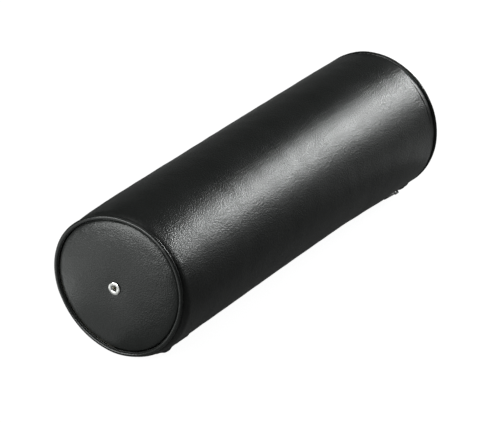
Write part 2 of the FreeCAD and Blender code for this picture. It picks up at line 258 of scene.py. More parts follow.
def simulate(points, faces, pinned):
    """Runs Blender's cloth with pressure on an open skin and returns where its points end up."""
    obj = mesh_object("sim", points, faces, None)
    group = obj.vertex_groups.new(name="pinned")
    group.add(list(pinned), 1.0, "REPLACE")
    cloth = obj.modifiers.new("cloth", "CLOTH")
    c = cloth.settings
    c.quality = 6
    c.mass = 0.35
    c.tension_stiffness = c.compression_stiffness = 25.0
    c.shear_stiffness = 15.0
    c.bending_stiffness = 6.0
    c.tension_damping = c.compression_damping = c.shear_damping = 15.0
    c.use_pressure = True
    c.uniform_pressure_force = 4.0
    c.effector_weights.gravity = 0.0
    c.vertex_group_mass = "pinned"
    c.pin_stiffness = 1.0
    cloth.point_cache.frame_start, cloth.point_cache.frame_end = 1, SIM_FRAMES
    scene = bpy.context.scene
    for f in range(1, SIM_FRAMES + 1):
        scene.frame_set(f)
    moved = obj.evaluated_get(bpy.context.evaluated_depsgraph_get()).data
    co = np.zeros(len(moved.vertices) * 3)
    moved.vertices.foreach_get("co", co)
    scene.frame_set(1)
    bpy.data.objects.remove(obj)
    return co.reshape(-1, 3)


# ---------------------------------------------------------------- materials


class Nodes:
    """A material's node tree with a Principled shader and short ways to add to it."""

    def __init__(self, name, color, roughness, metallic=0.0):
        self.material = bpy.data.materials.new(name)
        self.material.use_nodes = True
        self.tree = self.material.node_tree
        self.shader = self.tree.nodes["Principled BSDF"]
        self.set("Base Color", (*color, 1))
        self.set("Roughness", roughness)
        self.set("Metallic", metallic)
        self.place = self.add("ShaderNodeTexCoord").outputs["Object"]
        self.height = None

    def set(self, key, value):
        self.shader.inputs[key].default_value = value

    def add(self, kind, links=(), **values):
        """A node with its properties set, and inputs linked or given as values."""
        node = self.tree.nodes.new(kind)
        for key, value in values.items():
            setattr(node, key, value)
        for key, value in dict(links).items():
            if isinstance(value, bpy.types.NodeSocket):
                self.tree.links.new(value, node.inputs[key])
            else:
                node.inputs[key].default_value = value
        return node

    def noise(self, scale, detail=3.0, rough=0.5, place=None):
        links = {"Vector": place or self.place, "Scale": scale, "Detail": detail, "Roughness": rough}
        return self.add("ShaderNodeTexNoise", links).outputs["Fac"]

    def ranged(self, value, low, high, to_low, to_high):
        links = {"Value": value, "From Min": low, "From Max": high, "To Min": to_low, "To Max": to_high}
        return self.add("ShaderNodeMapRange", links).outputs["Result"]

    def math(self, operation, a, b=0.0):
        node = self.add("ShaderNodeMath", {0: a, 1: b}, operation=operation)
        return node.outputs[0]

    def stretched(self, scale):
        return self.add("ShaderNodeMapping", {"Vector": self.place, "Scale": scale}).outputs["Vector"]

    def mixed(self, factor, a, b):
        node = self.add("ShaderNodeMix", {"Factor": factor}, data_type="RGBA")
        node.inputs[6].default_value, node.inputs[7].default_value = (*a, 1), (*b, 1)
        return node.outputs[2]

    def into(self, key, value):
        self.tree.links.new(value, self.shader.inputs[key])

    def bump(self, height, distance, strength=1.0):
        """Adds a bump on top of those added before."""
        links = {"Height": height, "Distance": distance, "Strength": strength}
        if self.height:
            links["Normal"] = self.height
        self.height = self.add("ShaderNodeBump", links).outputs["Normal"]
        self.into("Normal", self.height)


def vinyl(name, grain, roughness):
    """Black coated fabric: pebbled grain, fine pores, and slow changes of sheen."""
    m = Nodes(name, (0.019, 0.0205, 0.0195), roughness)
    m.set("Specular IOR Level", 0.5)
    wobble = m.add("ShaderNodeTexNoise", {"Vector": m.place, "Scale": 420.0, "Detail": 2.0}).outputs["Color"]
    shift = m.add("ShaderNodeVectorMath", {0: wobble, 1: (0.5, 0.5, 0.5)}, operation="SUBTRACT")
    scaled = m.add("ShaderNodeVectorMath", {0: shift.outputs[0], 3: 0.0009}, operation="SCALE")
    moved = m.add("ShaderNodeVectorMath", {0: m.place, 1: scaled.outputs[0]}).outputs[0]
    cells = m.add("ShaderNodeTexVoronoi", {"Vector": moved, "Scale": 520.0}, feature="SMOOTH_F1")
    cells.inputs["Smoothness"].default_value = 0.35
    pebble = m.ranged(cells.outputs["Distance"], 0.05, 0.75, 1.0, 0.0)
    pores = m.noise(2600.0, 2.0, 0.6)
    waves = m.noise(150.0, 3.0, 0.55)
    m.bump(waves, 0.0008, 0.13 * grain)
    m.bump(pebble, 0.0003, 0.72 * grain)
    m.bump(pores, 0.00005, 0.4 * grain)
    patches = m.noise(9.0, 4.0, 0.6)
    sheen = m.math("ADD", m.ranged(patches, 0.3, 0.7, roughness - 0.03, roughness + 0.04),
                   m.ranged(cells.outputs["Distance"], 0.0, 0.8, -0.02, 0.06))
    m.into("Roughness", sheen)
    faded = m.ranged(patches, 0.3, 0.7, 0.0, 1.0)
    m.into("Base Color", m.mixed(faded, (0.016, 0.0175, 0.0165), (0.024, 0.0255, 0.0245)))
    return m.material


def metal(name, color, roughness):
    m = Nodes(name, color, roughness, 1.0)
    scratches = m.noise(900.0, 4.0, 0.7, m.stretched((1, 0.15, 1)))
    m.into("Roughness", m.ranged(scratches, 0.3, 0.7, roughness, roughness + 0.12))
    m.bump(m.noise(500.0, 3.0), 0.00004, 0.3)
    return m.material


def enamel(name, color):
    """Sprayed black enamel on zinc, rubbed a little lighter in places."""
    m = Nodes(name, color, 0.32)
    rub = m.noise(220.0, 5.0, 0.65)
    m.into("Roughness", m.ranged(rub, 0.3, 0.7, 0.26, 0.46))
    m.into("Base Color", m.mixed(m.ranged(rub, 0.58, 0.72, 0.0, 1.0), color, tuple(4 * v for v in color)))
    m.bump(m.noise(1500.0, 2.0), 0.00005, 0.5)
    return m.material


def nylon(name, color):
    m = Nodes(name, color, 0.38)
    fine = m.noise(2400.0, 3.0)
    m.into("Roughness", m.ranged(fine, 0.3, 0.7, 0.32, 0.5))
    m.bump(fine, 0.00004, 0.4)
    return m.material


def woven(name, color, light, pitch, turn=0.0):
    """Tightly woven tape: over-and-under threads with a little colour change between them."""
    m = Nodes(name, color, 0.85)
    m.set("Sheen Weight", 0.2)
    place = m.add("ShaderNodeMapping", {"Vector": m.place, "Rotation": (turn, 0, 0)}).outputs["Vector"]
    bands = {"Vector": place, "Scale": 1 / pitch, "Distortion": 0.4}
    across = m.add("ShaderNodeTexWave", bands, bands_direction="X")
    along = m.add("ShaderNodeTexWave", bands, bands_direction="Y")
    weave = m.math("MULTIPLY", across.outputs["Fac"], along.outputs["Fac"])
    m.bump(weave, 0.00018, 0.9)
    m.bump(m.noise(3000.0, 3.0), 0.00005, 0.5)
    m.into("Base Color", m.mixed(weave, color, light))
    return m.material


def foam(name):
    """Open-cell foam: pits of mixed size, cream, a little yellower in patches."""
    m = Nodes(name, (0.80, 0.77, 0.66), 0.95)
    cells = m.add("ShaderNodeTexVoronoi", {"Vector": m.place, "Scale": 700.0})
    big = m.add("ShaderNodeTexVoronoi", {"Vector": m.place, "Scale": 240.0})
    m.bump(big.outputs["Distance"], 0.0006, 0.6)
    m.bump(cells.outputs["Distance"], 0.0004, 0.9)
    m.into("Base Color", m.mixed(m.noise(25.0, 4.0), (0.84, 0.80, 0.68), (0.74, 0.69, 0.55)))
    return m.material


def fluff(name):
    """Needled polyester wadding: tangled fibres, soft white."""
    m = Nodes(name, (0.86, 0.86, 0.84), 1.0)
    m.set("Sheen Weight", 0.35)
    fibres = m.noise(260.0, 8.0, 0.75, m.stretched((1, 2.5, 1)))
    m.bump(fibres, 0.002, 0.8)
    m.into("Base Color", m.mixed(fibres, (0.80, 0.80, 0.77), (0.92, 0.92, 0.90)))
    return m.material


def yarn(name, color, light):
    m = Nodes(name, color, 0.6)
    m.set("Sheen Weight", 0.25)
    ply = m.noise(1800.0, 3.0, 0.6, m.stretched((0.3, 1, 1)))
    m.bump(ply, 0.0001, 0.8)
    m.into("Base Color", m.mixed(ply, color, light))
    return m.material


MAT = {
    "cover_vinyl": vinyl("cover_vinyl", 1.0, 0.29),
    "piping_vinyl": vinyl("piping_vinyl", 0.25, 0.19),
    "foam": foam("foam"),
    "wadding": fluff("wadding"),
    "cotton_cord": yarn("cotton_cord", (0.74, 0.70, 0.60), (0.86, 0.83, 0.74)),
    "thread": yarn("thread", (0.018, 0.019, 0.018), (0.05, 0.05, 0.05)),
    "eyelet_metal": metal("eyelet_metal", (0.80, 0.80, 0.78), 0.16),
    "zip_tape": woven("zip_tape", (0.012, 0.012, 0.012), (0.03, 0.03, 0.03), 0.9 * MM, ZIP_TURN),
    "zip_coil": nylon("zip_coil", (0.016, 0.016, 0.016)),
    "zip_metal": enamel("zip_metal", (0.015, 0.015, 0.015)),
}


# ---------------------------------------------------------------- the stuffed cover


def spread(low, high, step):
    """Evenly spaced values from low to high, about step apart."""
    count = max(1, round((high - low) / step))
    return [low + (high - low) * i / count for i in range(count + 1)]


def joined(*runs):
    """Runs of values put end to end, each shared end kept once."""
    values = list(runs[0])
    for run in runs[1:]:
        values += run[1:]
    return values


def lean(x):
    """How far the roll has been pushed towards -Y at x: most at the left end."""
    return LEAN * (1 - min(1.0, max(0.0, (x + END_X) / (2 * END_X)))) ** 2


def stuffed_radius(x, s):
    """Radius of the stuffed cover, which turns in over a shoulder to meet the piping at each end."""
    angle = ZIP_TURN + s / RADIUS
    y, z = -math.sin(angle), -math.cos(angle)
    side = 1 if x > 0 else -1
    end = ENDS[side]
    plump = 0.2 * MM + 0.7 * MM * (lean(x) / LEAN)
    far = smoothstep(0.12, 0.26, x) * max(0.0, -0.64 * y - 0.77 * z) ** 2
    sunk = end["sunk"] * math.exp(-to_seam(x) / (35 * MM)) * (0.5 + 0.5 * z) ** 2
    sunk += 0.5 * end["slant"] * (1 - 2 * y * z) * math.exp(-to_seam(x) / (60 * MM))
    body = RADIUS + plump - lean(x) * y + 3.2 * MM * far - sunk
    seam = end["rim"] - end["drop"] + out_of_round(side, y, z) + end["y"] * y + end["z"] * z
    u = min(1.0, max(0.0, 1 - to_seam(x) / end["turn"]))
    share = 1 - math.sqrt(1 - u**2)
    return body * (1 - share) + seam * share


def zip_hollow(x, s):
    """How far the cover dips along the zip, whose tapes don't stretch."""
    middle = 1.0 - smoothstep(0.10, 0.30, abs(x - 0.06))
    return (0.7 + 0.6 * middle) * MM * math.exp(-((s / (15 * MM)) ** 2))


CROSS = joined(
    spread(-RADIUS * math.pi, -20 * MM, 5.0 * MM),
    spread(-20 * MM, -STITCH_S, 3.4 * MM),
    spread(-STITCH_S, -SLOT_HALF, 2.0 * MM),
    spread(-SLOT_HALF, SLOT_HALF, 3.05 * MM),
    spread(SLOT_HALF, STITCH_S, 2.0 * MM),
    spread(STITCH_S, 20 * MM, 3.4 * MM),
    spread(20 * MM, RADIUS * math.pi, 5.0 * MM),
)[:-1]
LEFT_SEAM = -SEAM_X - ENDS[-1]["out"]
LENGTHS = joined(
    spread(LEFT_SEAM, LEFT_SEAM + 16 * MM, 1.2 * MM),
    spread(LEFT_SEAM + 16 * MM, SLOT_LEFT, 4.0 * MM),
    spread(SLOT_LEFT, SLOT_RIGHT, 5.0 * MM),
    spread(SLOT_RIGHT, SEAM_X - 12 * MM, 4.0 * MM),
    spread(SEAM_X - 12 * MM, SEAM_X, 1.2 * MM),
)


def stuffed_skin():
    """The radius of the stuffed cover's skin at each of the LENGTHS and CROSS places."""
    rows = [[stuffed_radius(x, s) + handling(x, s) - zip_hollow(x, s) for s in CROSS] for x in LENGTHS]
    return np.array(rows)


def handling(x, s):
    """Slow unevenness of a hand-stuffed roll, and the small gathers next to its end seams."""
    near_seam = math.exp(-to_seam(x) / (14 * MM)) * (1 - math.exp(-to_seam(x) / (2 * MM)))
    p = on_roll(x, s, RADIUS)
    q = on_roll(0.3 * x, s, RADIUS)
    slow = 0.55 * MM * bumpy(p.x * 0.6, p.y, p.z, 85 * MM, 7.7)
    dents = 0.30 * MM * bumpy(p.x * 1.6, p.y, p.z, 36 * MM, 1.9)
    gathers = 0.9 * MM * near_seam * bumpy(q.x, q.y, q.z, 11 * MM, 5.3)
    fade = smoothstep(0.0, 12 * MM, to_seam(x))
    return (slow + dents) * fade + gathers


RADII = stuffed_skin()


def skin_radius(x, s):
    """The cover's radius anywhere on it, between the points of its mesh."""
    x = min(LENGTHS[-1], max(LENGTHS[0], x))
    i = int(np.clip(np.searchsorted(LENGTHS, x) - 1, 0, len(LENGTHS) - 2))
    j = int(np.clip(np.searchsorted(CROSS, s) - 1, 0, len(CROSS) - 2))
    u = (x - LENGTHS[i]) / (LENGTHS[i + 1] - LENGTHS[i])
    v = (s - CROSS[j]) / (CROSS[j + 1] - CROSS[j])
    low = RADII[i, j] * (1 - v) + RADII[i, j + 1] * v
    high = RADII[i + 1, j] * (1 - v) + RADII[i + 1, j + 1] * v
    return low * (1 - u) + high * u


def on_skin(x, s, lift=0.0):
    return settled(on_roll(x, s, skin_radius(x, s) + lift), 0.1 * MM)


def cover_skin():
    """The tube with its zip opening, turned in at both end seams; the hems along the zip are made in
    zip_hems.
    """
    columns = len(CROSS)
    points, rings = [], []
    turn_in = [(0.0, -0.9), (-1.0, -1.6), (-4.5, -1.7), (-8.0, -1.7)]
    left = [(LEFT_SEAM - back * MM, down * MM, 0) for back, down in reversed(turn_in)]
    right = [(SEAM_X + back * MM, down * MM, -1) for back, down in turn_in]
    for x, down, row in left:
        points += [settled(on_roll(x, s, RADII[row, j] + down), 2.6 * MM) for j, s in enumerate(CROSS)]
        rings.append(x)
    for i, x in enumerate(LENGTHS):
        points += [settled(on_roll(x, s, RADII[i, j]), 0.1 * MM) for j, s in enumerate(CROSS)]
        rings.append(x)
    for x, down, row in right:
        points += [settled(on_roll(x, s, RADII[row, j] + down), 2.6 * MM) for j, s in enumerate(CROSS)]
        rings.append(x)
    faces = []
    for i in range(len(rings) - 1):
        near, far = sorted((rings[i], rings[i + 1]))
        inside_x = SLOT_LEFT - 0.1 * MM < near and far < SLOT_RIGHT + 0.1 * MM
        for j in range(columns):
            k = (j + 1) % columns
            middle = (CROSS[j] + CROSS[k]) / 2
            if inside_x and k and abs(middle) < SLOT_HALF:  # k is 0 where the tube closes, at the back
                continue
            a, b = i * columns + j, i * columns + k
            faces.append((a, b, b + columns, a + columns))
    skin = mesh_object("cover_skin", points, faces, MAT["cover_vinyl"])
    fix_normals(skin)
    solidify(skin, SKIN)
    dress(skin, ROOT, "cover_vinyl", "body_cover")
    return skin


def zip_hems():
    """The folded edges of the opening: each is a rolled lip and the hem that lies under the skin."""
    section = [(7.0, -0.1), (6.2, 0.05), (5.6, -0.35), (5.4, -1.1), (5.6, -1.9), (6.3, -2.3), (8.0, -2.4),
               (19.0, -2.4), (19.6, -1.9), (19.0, -1.35), (8.0, -1.3)]
    parts = Parts()
    for side in (-1, 1):
        start = len(parts.points)
        xs = spread(SLOT_LEFT - 5 * MM, SLOT_RIGHT + 5 * MM, 4 * MM)
        for x in xs:
            for s, down in section:
                over = skin_radius(x, side * max(s, 6.2) * MM)
                parts.points.append(on_roll(x, side * s * MM, over + down * MM))
        count = len(section)
        parts.faces += grid_faces(len(xs), count, True, start)
        parts.faces.append(tuple(start + k for k in range(count)))
        parts.faces.append(tuple(start + (len(xs) - 1) * count + k for k in reversed(range(count))))
    hems = parts.make("zip_hems", MAT["cover_vinyl"])
    smoothed(hems)
    return dress(hems, ROOT, "cover_vinyl")


# ---------------------------------------------------------------- end caps and piping

CAP_AROUND = 180


def cap_radius(side):
    return ENDS[side]["rim"] - 2 * PIPE - 1.2 * MM


def cap_height(side, r):
    """How far the stuffed cap stands out of its seam at radius r: nearly flat, with a puffy edge."""
    u = min(1.0, r / cap_radius(side))
    end = ENDS[side]
    return (CAP_TOP_X - SEAM_X + end["top"] - end["out"]) * (1 - 0.30 * u**2 - 0.70 * u**13)


def end_cap(side, name, node):
    edge_r = cap_radius(side)
    radii = joined(
        spread(4.2 * MM, 20 * MM, 2.6 * MM),
        spread(20 * MM, 78 * MM, 5.2 * MM),
        spread(78 * MM, edge_r, 1.5 * MM),
    )
    rise = [cap_height(side, r) for r in radii]
    angles = [2 * math.pi * k / CAP_AROUND for k in range(CAP_AROUND)]
    start = [on_end(side, SEAM_X + 0.75 * h, a, r) for r, h in zip(radii, rise) for a in angles]
    rings = len(radii)
    faces = grid_faces(rings, CAP_AROUND, True)
    if side > 0:
        faces = [tuple(reversed(f)) for f in faces]
    pinned = list(range(CAP_AROUND)) + list(range((rings - 1) * CAP_AROUND, rings * CAP_AROUND))
    swell = np.zeros((rings, CAP_AROUND))
    out = simulate(start, faces, pinned)
    swell = (side * (out[:, 0] - np.array([p.x for p in start]))).reshape(rings, CAP_AROUND)
    top = np.median(swell[rings // 3: rings // 2])
    print(name, "swell, mm:", round(top * 1000, 3))
    swell = np.clip(swell / max(top, 1e-5), -0.3, 1.6)
    points = []
    for i, r in enumerate(radii):
        edge = smoothstep(edge_r - 22 * MM, edge_r - 6 * MM, r) * (1 - smoothstep(edge_r - 3 * MM, edge_r, r))
        calm = smoothstep(9 * MM, 22 * MM, r)
        for k, angle in enumerate(angles):
            y, z = math.sin(angle), -math.cos(angle)
            puckers = 0.40 * MM * edge * bumpy(0.25 * r, edge_r * y, edge_r * z, 13 * MM, 2.0 + side)
            slow = 0.55 * MM * calm * bumpy(0.0, r * y, r * z, 45 * MM, 4.0 + side)
            dimple = 0.9 * MM * math.exp(-((r / (16 * MM)) ** 2))
            x = SEAM_X + rise[i] * (0.86 + 0.14 * swell[i, k]) + puckers + slow * (1 - edge) - dimple
            points.append(settled(on_end(side, x, angle, r), 5.9 * MM))
    turned = [(0.4, -0.3), (-2.0, -0.6), (-5.0, -0.7), (-8.0, -0.7)]
    for back, down in turned:
        points += [settled(on_end(side, SEAM_X + back * MM, a, edge_r + down * MM), 6.4 * MM) for a in angles]
    cap = mesh_object(name, points, grid_faces(rings + len(turned), CAP_AROUND, True), MAT["cover_vinyl"])
    fix_normals(cap)
    solidify(cap, SKIN)
    dress(cap, ROOT, "cover_vinyl", node)
    return cap


def rim_path(side, count, inset, x, depth, wave=0.0):
    """Points round an end, inset from the outside of its piping and resting on the floor."""
    path, rim = [], ENDS[side]["rim"]
    for k in range(count):
        angle = 2 * math.pi * k / count
        y, z = rim * math.sin(angle), -rim * math.cos(angle)
        r = rim - inset + wave * bumpy(0.0, y, z, 30 * MM, 8.0 + side)
        dx = wave * bumpy(0.0, y, z, 34 * MM, 11.0 + side)
        path.append(settled(on_end(side, x + dx, angle, r), depth))
    return path


def piping(side, name, node):
    """Covered cord: nearly round, its strip drawn down to the seam on the inside of the ring."""
    count, sides = 420, 20
    path = rim_path(side, count, PIPE, END_X - PIPE, PIPE, 0.35 * MM)

    def shape(i, angle):
        crease = bumpy(i * 1.1 * MM, math.cos(angle) * MM, math.sin(angle) * MM, 2.6 * MM, 9.0 + side)
        slow = bumpy(i * 1.5 * MM, 0.0, 0.0, 24 * MM, 6.0 + side)
        return 1.0 + 0.022 * crease + 0.03 * slow

    parts = Parts()
    parts.tube(path, PIPE, sides, closed=True, shape=shape)
    tail = [(-2.6, -3.0), (-6.0, -2.2), (-10.5, -2.2), (-13.6, -2.2), (-13.6, -2.9), (-10.5, -2.9),
            (-6.0, -2.9), (-3.2, -3.6)]
    start = len(parts.points)
    centre = end_centre(side)
    for p in path:
        outward = Vector((0, p.y - centre.y, p.z - centre.z)).normalized()
        for back, down in tail:
            q = p + Vector((side * (back + 2.8) * MM, 0, 0)) + outward * (down + 0.4) * MM
            parts.points.append(settled(q, 4.7 * MM))
    parts.faces += ring_faces(count, len(tail), start)
    ring = parts.make(name, MAT["piping_vinyl"])
    return dress(ring, ROOT, "piping_vinyl", node)


def piping_cord(side, name, node):
    """Three-strand cotton cord inside the piping."""
    count = 900
    path = rim_path(side, count, PIPE, END_X - PIPE, PIPE, 0.35 * MM)

    def strands(i, angle):
        return 1 + 0.1 * math.cos(3 * angle - 2 * math.pi * 90 * i / count)

    parts = Parts()
    parts.tube(path, 1.62 * MM, 12, closed=True, shape=strands)
    return dress(parts.make(name, MAT["cotton_cord"]), ROOT, "cotton_cord", node)


def stitches(parts, places, normals, radius, pitch, share=0.82):
    """Short threads that arch over a surface and dip into it at both ends."""
    lengths = [0.0]
    for a, b in zip(places, places[1:]):
        lengths.append(lengths[-1] + (b - a).length)
    count = int(lengths[-1] / pitch)

    def at(distance):
        i = int(np.clip(np.searchsorted(lengths, distance) - 1, 0, len(lengths) - 2))
        u = (distance - lengths[i]) / (lengths[i + 1] - lengths[i])
        return places[i].lerp(places[i + 1], u), normals[i].lerp(normals[i + 1], u).normalized()

    for n in range(count):
        path = []
        for t in (0.0, 0.12, 0.35, 0.65, 0.88, 1.0):
            p, up = at((n + 0.5 - share / 2 + share * t) * pitch)
            loose = 0.25 * random.random() * (0.2 < t < 0.8)
            lift = radius * (0.9 * math.sin(math.pi * t) ** 0.6 - 0.7 + loose)
            path.append(p + up * lift)
        parts.tube(path, radius, 6, up=Vector((0.3, 0.5, 0.8)))


def seam_stitches(side, name, node):
    count = 240
    path = rim_path(side, count, 2 * PIPE + 1.6 * MM, SEAM_X - 2.0 * MM, 7.4 * MM)
    path.append(path[0])
    centre = end_centre(side)
    normals = [Vector((0, centre.y - p.y, centre.z - p.z)).normalized() for p in path]
    parts = Parts()
    stitches(parts, path, normals, 0.3 * MM, 3.4 * MM)
    return dress(parts.make(name, MAT["thread"]), ROOT, "thread", node)


# ---------------------------------------------------------------- eyelets


def lathe(name, side, profile, material, around=96):
    """A closed ring turned about an end's middle from (x, r) points."""
    points = []
    centre = end_centre(side, 1.0) + Vector((side * ENDS[side]["top"], 0, 0))
    for k in range(around):
        angle = 2 * math.pi * k / around
        points += [centre + Vector((x, r * math.sin(angle), -r * math.cos(angle))) for x, r in profile]
    obj = mesh_object(name, points, ring_faces(around, len(profile)), material)
    fix_normals(obj)
    smoothed(obj)
    return obj


def eyelet(side, name, node):
    """Drawn sheet: a domed flange with a curled edge, and a barrel curled over the washer inside."""
    outer = [(-1.35, 9.0), (-0.9, 8.95), (-0.5, 8.4), (-0.1, 7.3), (0.0, 6.2), (-0.15, 5.1), (-0.6, 4.0),
             (-1.4, 3.1), (-2.6, 2.8)]
    barrel = [(-4.0, 2.8), (-4.6, 3.2), (-4.65, 4.2), (-4.3, 5.1), (-4.0, 5.0), (-4.2, 4.2), (-4.0, 3.35)]
    under = [(-2.4, 3.3), (-1.7, 3.8), (-1.15, 4.9), (-0.65, 6.1), (-0.75, 7.2), (-1.1, 8.2)]
    profile = [(side * (FACE_X + x * MM), r * MM) for x, r in outer + barrel + under]
    return dress(lathe(name, side, profile, MAT["eyelet_metal"]), ROOT, "eyelet_metal", node)


def washer(side, name, node):
    """Flat washer with a rounded edge and a raised inner lip."""
    low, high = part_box(node)
    inner, outer = (low.x, high.x) if side > 0 else (high.x, low.x)
    profile = [(inner, 3.6), (inner, 7.8), (inner * 0.6 + outer * 0.4, 8.2), (outer, 7.9), (outer, 3.8),
               (outer - side * 0.2 * MM, 3.5)]
    profile = [(x, r * MM) for x, r in profile]
    return dress(lathe(name, side, profile, MAT["eyelet_metal"]), ROOT, "eyelet_metal", node)


# ---------------------------------------------------------------- zip

TOOTH = 1.7 * MM
WIRE = 0.34 * MM
PARTED = 1.4 * MM


def coil(side, name, node):
    """One side of the zip: a nylon wire coiled into flattened loops whose heads mesh across the middle."""
    steps = 10
    turns = int((COIL_RIGHT - COIL_LEFT) / TOOTH)
    rear, fork = SLIDER_X - 4.2 * MM, SLIDER_X + 1.2 * MM
    path = []
    for i in range(turns * steps + 1):
        x = COIL_LEFT + (i / steps + (0.5 if side > 0 else 0.0)) * TOOTH * turns / (turns + 1)
        angle = 2 * math.pi * i / steps
        middle = 1.0 * MM + PARTED * smoothstep(rear, fork, x)
        s = middle + 1.45 * MM * -math.cos(angle)
        r = COIL_R + 0.72 * MM * math.sin(angle)
        path.append(on_roll(x, side * s, r))
    parts = Parts()
    parts.tube(path, WIRE, 6, up=Vector((0.2, 0.9, 0.4)))
    return dress(parts.make(name, MAT["zip_coil"]), ROOT, "zip_coil", node)


def outward(x, s):
    """Direction away from the roll's axis at a place on it."""
    return (on_roll(x, s, 1.0) - on_roll(x, s, 0.0)).normalized()


def topstitching():
    parts = Parts()
    for side in (-1, 1):
        xs = spread(SLOT_LEFT + 2 * MM, SLOT_RIGHT - 2 * MM, 2.0 * MM)
        path = [on_skin(x, side * STITCH_S) for x in xs]
        normals = [outward(x, side * STITCH_S) for x in xs]
        stitches(parts, path, normals, 0.34 * MM, 3.5 * MM)
    return dress(parts.make("topstitching", MAT["thread"]), ROOT, "thread", "zip_topstitch")


def end_tab(name, node, x0, x1, knob, high):
    """A patch of vinyl over an end of the zip, with soft edges; it is folded up high at the knob."""
    points = []
    across = spread(-TAB_HALF, TAB_HALF, 1.5 * MM)
    xs = spread(x0, x1, 1.5 * MM)
    for x in xs:
        for s in across:
            edge = min(TAB_HALF - abs(s), x - x0, x1 - x)
            lift = 1.25 * MM * smoothstep(-0.3 * MM, 1.6 * MM, edge) + 0.12 * MM * bumpy(x, s, 0, 6 * MM, 2.2)
            bulge = math.exp(-(((x - knob) / (3.9 * MM)) ** 4) - ((s - 3 * MM) / (6.0 * MM)) ** 4)
            lift += high * (1 + 0.25 * bumpy(x, s, 0, 5 * MM, 1.4)) * bulge
            points.append(on_roll(x, s, max(skin_radius(x, s), RADIUS - 6.0 * MM) + lift))
    tab = mesh_object(name, points, grid_faces(len(xs), len(across), False), MAT["cover_vinyl"])
    fix_normals(tab)
    if tab.data.polygons[0].normal.dot(outward(x0, 0)) < 0:
        tab.data.flip_normals()
    solidify(tab, 0.9 * MM)
    dress(tab, ROOT, "cover_vinyl", node)
    return tab


def tab_stitches():
    """The stitched boxes that hold the two end tabs."""
    parts = Parts()
    boxes = [(SLOT_LEFT - 28 * MM, SLOT_LEFT - 2 * MM), (SLOT_RIGHT + 1.5 * MM, SLOT_RIGHT + 8.5 * MM)]
    half = 9.5 * MM
    for x0, x1 in boxes:
        along, across = spread(x0, x1, 2 * MM), spread(-half, half, 2 * MM)
        loop = [(x, -half) for x in along] + [(x1, s) for s in across[1:]]
        loop += [(x, half) for x in reversed(along[:-1])] + [(x0, s) for s in reversed(across[:-1])]
        path = [on_skin(x, s, 1.3 * MM) for x, s in loop]
        normals = [outward(x, s) for x, s in loop]
        stitches(parts, path, normals, 0.32 * MM, 3.0 * MM)
    return dress(parts.make("tab_stitching", MAT["thread"]), ROOT, "thread")


# ---------------------------------------------------------------- filling


def foam_roll():
    """The foam roll: a skinless cut block turned round, with a pocket behind each eyelet."""
    low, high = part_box("foam_core")
    radius = high.y
    around = 150
    pocket = [(3.9, 0.4), (3.9, 8.6), (3.2, 9.1), (0.2, 9.3)]
    profile = [(-high.x + x * MM, r * MM) for x, r in pocket]
    for r in spread(14 * MM, radius - 6 * MM, 6 * MM):
        profile.append((-(high.x - 6.1 * MM * (r / radius) ** 2), r))
    profile += [(-(high.x - 6.2 * MM), radius - 1.2 * MM), (-(high.x - 7.4 * MM), radius)]
    for x in spread(-(high.x - 12 * MM), 0.0, 9 * MM):
        profile.append((x, radius))
    profile += [(-x, r) for x, r in reversed(profile[:-1])]
    points = []
    for x, r in profile:
        for k in range(around):
            angle = 2 * math.pi * k / around
            y, z = math.sin(angle), -math.cos(angle)
            rough = 0.25 * MM * bumpy(x, r * y, r * z, 9 * MM, 3.3) if r > 20 * MM else 0.0
            s = (math.atan2(-y, -z) - ZIP_TURN) * RADIUS
            s = (s / RADIUS + math.pi) % (2 * math.pi) * RADIUS - math.pi * RADIUS
            cut = min(r + rough - 0.2 * MM, (skin_radius(x, s) - 5.6 * MM) * r / radius)
            points.append(settled(Vector((x, cut * y, AXIS_Z + cut * z)), low.z + 0.1 * MM))
    faces = grid_faces(len(profile), around, True)
    faces.append(tuple(range(around)))
    faces.append(tuple((len(profile) - 1) * around + k for k in range(around)))
    roll = mesh_object("foam_roll", points, faces, MAT["foam"])
    fix_normals(roll)
    dress(roll, ROOT, "foam", "foam_core")
    return roll


def wadding_sheet():
    """Wadding wrapped once round the foam, with thinned long edges that stop short of the zip."""
    low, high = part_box("wadding_wrap")
    outer, inner = high.y - 0.3 * MM, high.y - 4.0 * MM
    edge = WADDING_EDGE
    last = 2 * math.pi * RADIUS - edge
    across = joined(
        spread(edge, edge + 8 * MM, 2 * MM),
        spread(edge + 8 * MM, last - 8 * MM, 6 * MM),
        spread(last - 8 * MM, last, 2 * MM),
    )
    xs = spread(low.x + 0.8 * MM, high.x - 0.8 * MM, 7 * MM)
    layers = []
    for radius, sign in ((outer, 1), (inner, -1)):
        for x in xs:
            for s in across:
                ends = min(s - edge, last - s, (x - xs[0]) * 0.7, (xs[-1] - x) * 0.7)
                thin = 1 - smoothstep(-1 * MM, 5 * MM, ends)
                wave = 0.3 * MM * bumpy(x, s, 0, 14 * MM, 2.7 * sign)
                middle = (outer + inner) / 2
                r = middle + (radius - middle) * (1 - 0.7 * thin) - sign * abs(wave)
                round_s = (s + math.pi * RADIUS) % (2 * math.pi * RADIUS) - math.pi * RADIUS
                r = min(r, skin_radius(x, round_s) - (1.5 * MM if sign > 0 else 3.2 * MM))
                layers.append(settled(on_roll(x, s, r), 2.9 * MM if sign > 0 else 6.4 * MM))
    rows, columns = len(xs), len(across)
    size = rows * columns
    faces = grid_faces(rows, columns, False) + grid_faces(rows, columns, False, size)
    border = list(range(columns)) + [i * columns + columns - 1 for i in range(1, rows)]
    border += [(rows - 1) * columns + j for j in reversed(range(columns - 1))]
    border += [i * columns for i in reversed(range(1, rows - 1))]
    for a, b in zip(border, border[1:] + border[:1]):
        faces.append((a, b, b + size, a + size))
    wrap = mesh_object("wadding_sheet", layers, faces, MAT["wadding"])
    fix_normals(wrap)
    dress(wrap, ROOT, "wadding", "wadding_wrap")
    return wrap


